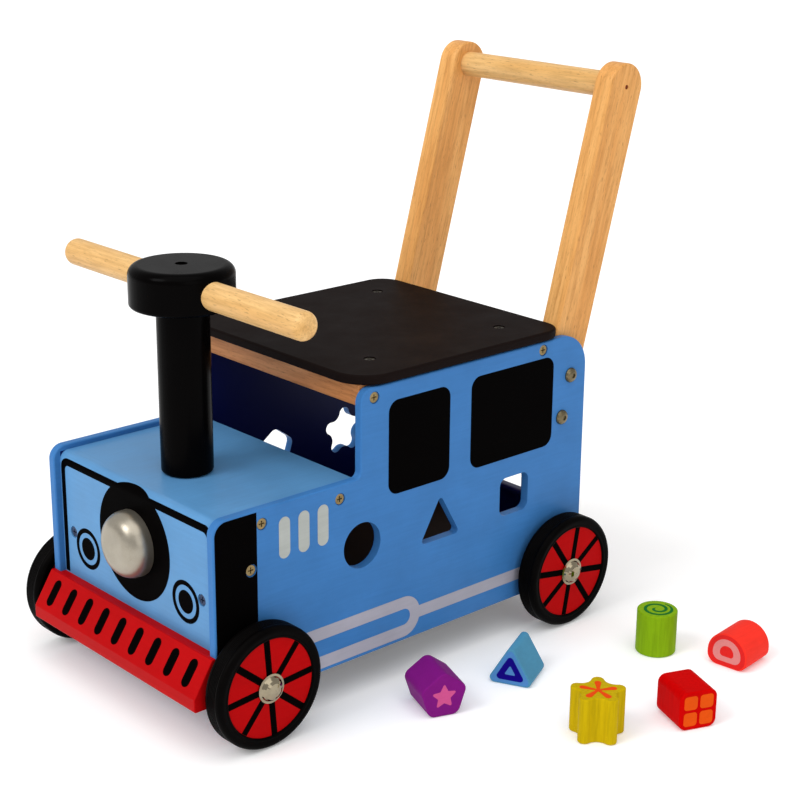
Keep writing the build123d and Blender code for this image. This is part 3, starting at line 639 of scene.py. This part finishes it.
def spiral_loop():
    """Ribbon that winds in clockwise from its outer end."""
    steps, outer, width = 80, 12.4, 2.7
    start, sweep = radians(50), radians(640)
    shrink, tightening = 0.83, 1.6      # how far it winds in, and how much faster towards its end
    end_width, end_growth = 0.35, 6     # share of the width at both ends, and how fast it grows from there
    left, right = [], []
    for n in range(steps + 1):
        t = n / steps
        angle = start - sweep * t
        radius = outer * (1 - shrink * t ** tightening)
        half = width / 2 * min(1, end_width + end_growth * min(t, 1 - t))
        left.append(((radius + half) * cos(angle), (radius + half) * sin(angle)))
        right.append(((radius - half) * cos(angle), (radius - half) * sin(angle)))
    return left + right[::-1]


def star_loop(centre_v, outer, inner, points=5):
    corners = []
    for n in range(points):
        tip = pi / 2 + 2 * pi * n / points
        notch = tip + pi / points
        corners.append((outer * cos(tip), centre_v + outer * sin(tip), 1.0))
        corners.append((inner * cos(notch), centre_v + inner * sin(notch), 0.6))
    return corner_loop(corners, 5)


def triangle_loop(centre_v, side, radius):
    reach = side / sqrt(3)
    corners = [(reach * cos(a), centre_v + reach * sin(a), radius)
               for a in (pi / 2, pi / 2 + 2 * pi / 3, pi / 2 + 4 * pi / 3)]
    return corner_loop(corners)


def d_loop(width, height, foot_v, corner_r):
    half = width / 2
    return corner_loop([(-half, foot_v, corner_r), (half, foot_v, corner_r),
                        (half, foot_v + height, half - 0.02), (-half, foot_v + height, half - 0.02)], 16)


paint_film("spiral_motif", [spiral_loop()], top_face("cylinder_block", CYLINDER_TURN), "dark_green",
           "loose_cylinder_block")
paint_film("petal_motif", [petal_loop()], top_face("flower_block", FLOWER_TURN), "orange",
           "loose_flower_block")

square_end = end_face("square_block", BLOCK_TURN["square"])
TILE, TILE_GAP, SQUARE_MID = 11.6, 2.4, 16.3
tile_at = (TILE + TILE_GAP) / 2
tiles = [rect_loop(u - TILE / 2, u + TILE / 2, SQUARE_MID + v - TILE / 2, SQUARE_MID + v + TILE / 2, 2.6)
         for u in (-tile_at, tile_at) for v in (-tile_at, tile_at)]
paint_film("tile_motif", tiles, square_end, "square_orange", "loose_square_block")

triangle_end = end_face("triangle_block", BLOCK_TURN["triangle"])
TRIANGLE_MID = 12.07
paint_film("triangle_face_motif", [triangle_loop(TRIANGLE_MID, 37.2, 3.4)], triangle_end, "face_blue",
           "loose_triangle_block")
triangle_ring = [triangle_loop(TRIANGLE_MID, 27.0, 2.8), triangle_loop(TRIANGLE_MID, 9.8, 0.8)]
paint_film("triangle_ring_motif", triangle_ring, lambda u, v, w: triangle_end(u, v, w * OVER_FACE),
           "indigo", "loose_triangle_block")

pentagon_end = end_face("pentagon_block", BLOCK_TURN["pentagon"])
paint_film("star_motif", [star_loop(17.1, 11.5, 5.6)], pentagon_end, "pink", "loose_pentagon_block")

d_end = end_face("d_block", BLOCK_TURN["d"])
paint_film("d_face_motif", [d_loop(35.0, 27.6, 1.4, 8.2)], d_end, "d_face", "loose_d_block")
paint_film("d_ring_motif", [d_loop(26.5, 20.5, 4.9, 6.5), d_loop(13.0, 10.0, 9.6, 3.0)],
           lambda u, v, w: d_end(u, v, w * OVER_FACE), "pale_pink", "loose_d_block")

# ================================================================ floor, light and camera
CAMERA_AT = Vector((0.90902, 1.09512, 0.67888))
CAMERA_AROUND, CAMERA_DOWN, CAMERA_ROLL = radians(47.738), radians(18.227), radians(0.511)
LENS, SENSOR, FAR_CLIP = 79.9, 36.0, 50
FLOOR_HALF, FLOOR_DROP = 20, 0.0002         # metres; the drop keeps the tyres from meeting the floor
WORLD_STRENGTH = 0.58
SUNS = (("key_sun", (1.0, -0.15, 0.95), 1.0, 25),       # name, toward, strength, spread in degrees
        ("top_sun", (0.2, 0.25, 1.0), 0.95, 60),
        ("side_sun", (0.25, 1.0, 0.45), 0.28, 35))


def make_camera():
    forward = Vector((-cos(CAMERA_AROUND) * cos(CAMERA_DOWN), -sin(CAMERA_AROUND) * cos(CAMERA_DOWN),
                      -sin(CAMERA_DOWN)))
    level = forward.cross(Vector((0, 0, 1))).normalized()
    upright = level.cross(forward)
    right = level * cos(CAMERA_ROLL) + upright * sin(CAMERA_ROLL)
    up = upright * cos(CAMERA_ROLL) - level * sin(CAMERA_ROLL)
    data = bpy.data.cameras.new("camera")
    data.lens = LENS
    data.sensor_width = SENSOR
    data.clip_end = FAR_CLIP
    camera = bpy.data.objects.new("camera", data)
    turn = Matrix((right, up, -forward)).transposed()
    camera.matrix_world = Matrix.Translation(CAMERA_AT) @ turn.to_4x4()
    bpy.context.collection.objects.link(camera)
    bpy.context.scene.camera = camera


def make_floor():
    m = Recipe("studio_floor", 0.9, Emission_Strength=0.13)
    m.set_socket("Emission Color", rgb(1, 1, 1))
    cloud = m.noise(m.place(), 1.5, 2.0)
    m.color(m.mix(cloud, rgb(0.965, 0.965, 0.965), rgb(0.985, 0.985, 0.985)))
    bm = bmesh.new()
    bmesh.ops.create_grid(bm, x_segments=8, y_segments=8, size=FLOOR_HALF)
    mesh = bpy.data.meshes.new("studio_floor")
    bm.to_mesh(mesh)
    bm.free()
    mesh.materials.append(m.mat)
    plane = bpy.data.objects.new("studio_floor", mesh)
    plane.location.z = -FLOOR_DROP
    bpy.context.collection.objects.link(plane)


def soft_sun(name, toward, strength, spread):
    """Even light from one side of the sky; toward points from the object to the light."""
    data = bpy.data.lights.new(name, "SUN")
    data.energy = strength
    data.angle = radians(spread)
    lamp = bpy.data.objects.new(name, data)
    lamp.rotation_euler = Vector(toward).to_track_quat("Z", "Y").to_euler()
    lamp.location = Vector(toward).normalized() * 3
    bpy.context.collection.objects.link(lamp)


def make_lights():
    world = bpy.data.worlds.new("studio")
    world.use_nodes = True
    background = world.node_tree.nodes["Background"]
    background.inputs["Color"].default_value = rgb(1.0, 1.0, 1.0)
    background.inputs["Strength"].default_value = WORLD_STRENGTH
    bpy.context.scene.world = world
    for sun in SUNS:
        soft_sun(*sun)


make_camera()
make_floor()
make_lights()
bpy.context.scene.view_settings.view_transform = "Standard"
